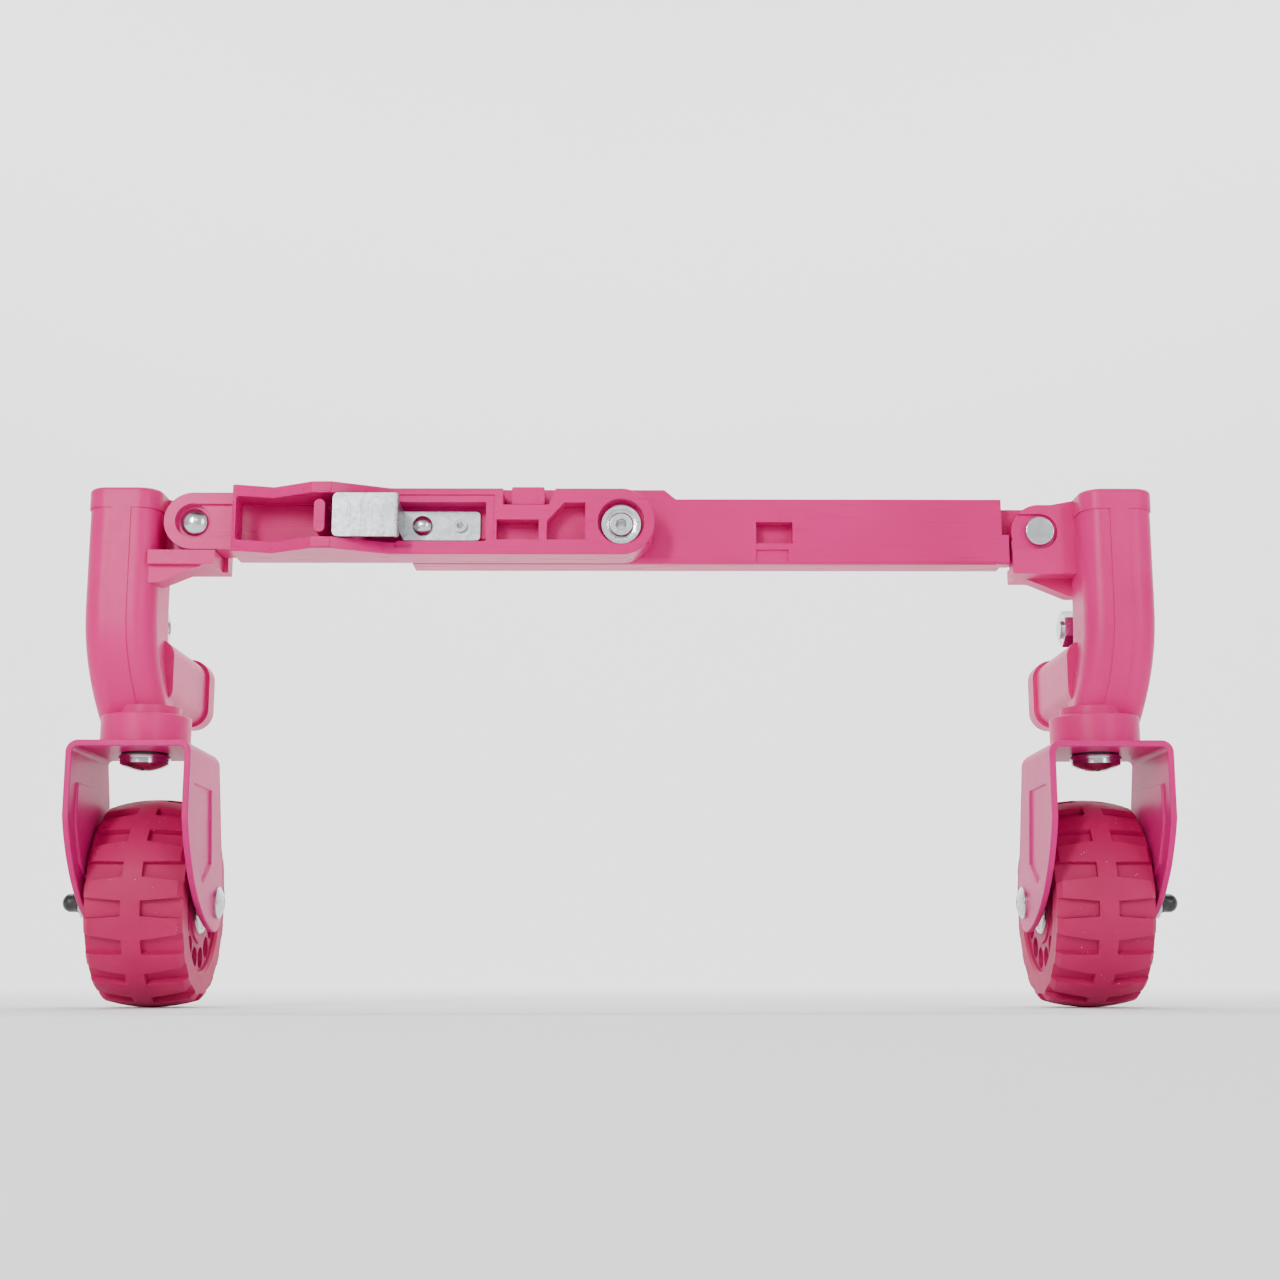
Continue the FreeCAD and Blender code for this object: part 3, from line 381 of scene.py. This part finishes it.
zinc_steel = bright_zinc("zinc_steel", (0.62, 0.64, 0.66), 0.12, 0.28, 320)
bearing_steel = bright_zinc("bearing_steel", (0.42, 0.42, 0.41), 0.18, 0.32, 500)
spring_steel = bright_zinc("spring_steel", (0.52, 0.52, 0.54), 0.25, 0.40, 700)
latch_steel = spangled_zinc()
print("zinc finishes made")

# %% [markdown]
# Two dark plastics are left: the soft caps on the axle ends, which are shiny, and the swivel
# bushes and washers, which are dry and waxy. Even black needs some drift, or it reads as a hole.


# %% dark plastics
def dark_plastic(name, tone, low, high):
    finish = Finish(name)
    lit = tuple(part * 1.7 + 0.004 for part in tone)
    colour = finish.ramp(finish.noise(180, 3.0), [(0.35, tone), (0.7, lit)])
    normal = finish.bump(finish.noise(1400, 2.0), 0.18, 0.00008)
    roughness = finish.span(finish.noise(240, 3.0), low, high)
    return finish.wire(colour=colour, roughness=roughness, normal=normal)


cap_rubber = dark_plastic("cap_rubber", (0.010, 0.010, 0.011), 0.24, 0.38)
bush_plastic = dark_plastic("bush_plastic", (0.020, 0.020, 0.022), 0.45, 0.60)
finishes = {"bracket_plastic": bracket_plastic, "link_plastic": link_plastic,
            "fork_coat": fork_coat, "tread": tread, "hub_plastic": hub_plastic,
            "zinc_steel": zinc_steel, "bearing_steel": bearing_steel,
            "spring_steel": spring_steel, "latch_steel": latch_steel,
            "cap_rubber": cap_rubber, "bush_plastic": bush_plastic}
print("finishes", len(finishes))

# %% [markdown]
# The record says which finish each node wears. Small hidden pieces keep their engineering mesh
# and only take the material.

# %% paint the nodes
wears = {entry["node"]: entry["material_slot"] for entry in frame["record"]["subparts"]}
body_of = {}
for body, members in frame["record"]["behaviour"]["bodies"].items():
    for node in members:
        body_of[node] = body
for node, piece in frame["nodes"].items():
    piece.data.materials.clear()
    piece.data.materials.append(finishes[wears[node]])
print("painted", len(wears))


# %% [markdown]
# A moulded or pressed edge is never knife sharp, and the thin line of light along it is much of
# what makes a part look real. The engineering mesh is loose triangles, so a copy is welded
# first, its flat areas are joined back into single faces, and then every edge that turns more
# than 30 degrees is bevelled. The copy rides on the same body and stands for its node.

# %% softened copies
def put(name, mesh, node):
    """Make an object of a mesh, riding on a node's body, dressed in its finish, in its place."""
    piece = bpy.data.objects.new(name, mesh)
    bpy.context.scene.collection.objects.link(piece)
    if not mesh.materials:
        mesh.materials.append(finishes[wears[node]])
    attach(piece, body_of[node])
    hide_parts(node)
    return piece


def softened(node, radius_mm, segments=2):
    """A welded copy of a node with its sharp edges rounded."""
    bm = bmesh.new()
    bm.from_mesh(frame["nodes"][node].data)
    bmesh.ops.remove_doubles(bm, verts=bm.verts[:], dist=2e-6)
    bmesh.ops.dissolve_limit(bm, angle_limit=math.radians(1.0), verts=bm.verts[:],
                             edges=bm.edges[:], delimit={"NORMAL"})
    mesh = bpy.data.meshes.new(node + "_soft")
    bm.to_mesh(mesh)
    bm.free()
    mesh.materials.append(finishes[wears[node]])
    piece = put(node + "_soft", mesh, node)
    bevel = piece.modifiers.new("rounded_edges", "BEVEL")
    bevel.width = radius_mm / 1000
    bevel.segments = segments
    bevel.limit_method = "ANGLE"
    bevel.angle_limit = math.radians(30)
    bevel.use_clamp_overlap = True
    mesh.shade_smooth()
    flat = piece.modifiers.new("flat_faces", "WEIGHTED_NORMAL")
    flat.mode = "FACE_AREA"
    flat.weight = 80
    return piece


soft_radius = {"left_link": 0.6, "right_link": 0.6, "latch_plate": 0.35,
               "left_bracket": 0.8, "right_bracket": 0.8, "left_fork": 1.1, "right_fork": 1.1,
               "left_tyre": 0.9, "right_tyre": 0.9,
               "left_frame_nut": 0.3, "right_frame_nut": 0.3, "left_axle_nut": 0.3,
               "right_axle_nut": 0.3, "left_axle_bolt": 0.5, "right_axle_bolt": 0.5,
               "left_king_bolt": 0.4, "right_king_bolt": 0.4, "left_frame_bolt": 0.4,
               "right_frame_bolt": 0.4, "left_end_rivet": 0.3, "right_end_rivet": 0.3,
               "centre_rivet": 0.3, "centre_washer": 0.3, "latch_rivet": 0.3,
               "left_king_washer": 0.4, "right_king_washer": 0.4}
for node, radius in soft_radius.items():
    piece = softened(node, radius)
    print(piece.name, len(piece.data.polygons), "faces before rounding")


# %% [markdown]
# Round pieces are quickest on a lathe: draw half the outline as a line of points, and spin it.
# The axle caps and the bearings' faces are made this way, each about its own axle.

# %% lathe
def lathed(name, outline, centre, axis, node, steps=48):
    """Spin an outline of (radius, distance) in millimetres about an axis through a centre."""
    bm = bmesh.new()
    turn = Vector((0, 0, 1)).rotation_difference(Vector(axis)).to_matrix().to_4x4()
    frame_at = Matrix.Translation(centre) @ turn
    points = [bm.verts.new((radius / 1000, 0, along / 1000)) for radius, along in outline]
    edges = [bm.edges.new(pair) for pair in zip(points, points[1:])]
    bmesh.ops.spin(bm, geom=points + edges, cent=(0, 0, 0), axis=(0, 0, 1), steps=steps,
                   angle=math.tau, use_merge=True)
    bmesh.ops.remove_doubles(bm, verts=bm.verts[:], dist=1e-6)
    bmesh.ops.recalc_face_normals(bm, faces=bm.faces[:])
    bmesh.ops.transform(bm, matrix=frame_at, verts=bm.verts[:])
    mesh = bpy.data.meshes.new(name)
    bm.to_mesh(mesh)
    bm.free()
    mesh.shade_smooth()
    return put(name, mesh, node)


def smooth_by_angle(piece, degrees):
    """Keep the edges that turn more than an angle crisp, and blend the rest."""
    mesh = piece.data
    bm = bmesh.new()
    bm.from_mesh(mesh)
    for edge in bm.edges:
        edge.smooth = len(edge.link_faces) == 2 and edge.calc_face_angle(0) < math.radians(degrees)
    bm.to_mesh(mesh)
    bm.free()
    mesh.shade_smooth()


print("lathe ready")

# %% [markdown]
# The cap on each axle end is a soft moulding with a small bead round its mouth, where it was
# pushed over the thread. Its outline starts on the axis at the tip and comes back to the mouth.

# %% axle caps
for side, sign in (("left", -1), ("right", 1)):
    low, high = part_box(side + "_axle_cap")
    centre = (low + high) / 2
    length = (high.x - low.x) * 1000
    radius = (high.z - low.z) * 500
    centre.x = high.x if sign < 0 else low.x
    outline = [(0, length)]
    for step in range(1, 9):
        turn = math.pi / 2 * step / 8
        outline.append((radius * 0.94 * math.sin(turn),
                        length - radius * 0.85 * (1 - math.cos(turn))))
    outline += [(radius * 0.94, 2.0), (radius, 1.6), (radius, 0.5), (radius * 0.96, 0.1),
                (4.1, 0.1), (4.1, 4.0), (0, 4.2)]
    cap = lathed(side + "_axle_cap_turned", outline, centre, (sign, 0, 0), side + "_axle_cap")
    smooth_by_angle(cap, 40)
    print(cap.name, len(cap.data.polygons))

# %% [markdown]
# A ball bearing shows three rings: the inner race on the axle, a sunk shield, and the outer
# race pressed in the hub. The shield has a shallow pressed step, which is one more pair of
# points in the outline.

# %% bearings
for side, sign in (("left", -1), ("right", 1)):
    for face, out in (("inner", -sign), ("outer", sign)):
        node = f"{side}_{face}_bearing"
        low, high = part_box(node)
        centre = (low + high) / 2
        width = (high.x - low.x) * 1000
        radius = (high.z - low.z) * 500
        centre.x = low.x if out > 0 else high.x
        outline = [(4.05, 0.3), (4.35, 0), (radius - 0.4, 0), (radius, 0.4),
                   (radius, width - 0.5), (radius - 0.5, width), (radius - 2.2, width),
                   (radius - 2.4, width - 0.5), (radius - 3.4, width - 0.6),
                   (radius - 3.8, width - 0.9), (7.2, width - 0.9), (6.9, width - 0.6),
                   (6.4, width - 0.5), (6.3, width), (4.4, width), (4.05, width - 0.35),
                   (4.05, 0.3)]
        bearing = lathed(node + "_turned", outline, centre, (out, 0, 0), node)
        smooth_by_angle(bearing, 30)
print("bearings turned")

# %% [markdown]
# Last, the view layer is brought up to date.

# %% end
bpy.context.view_layer.update()
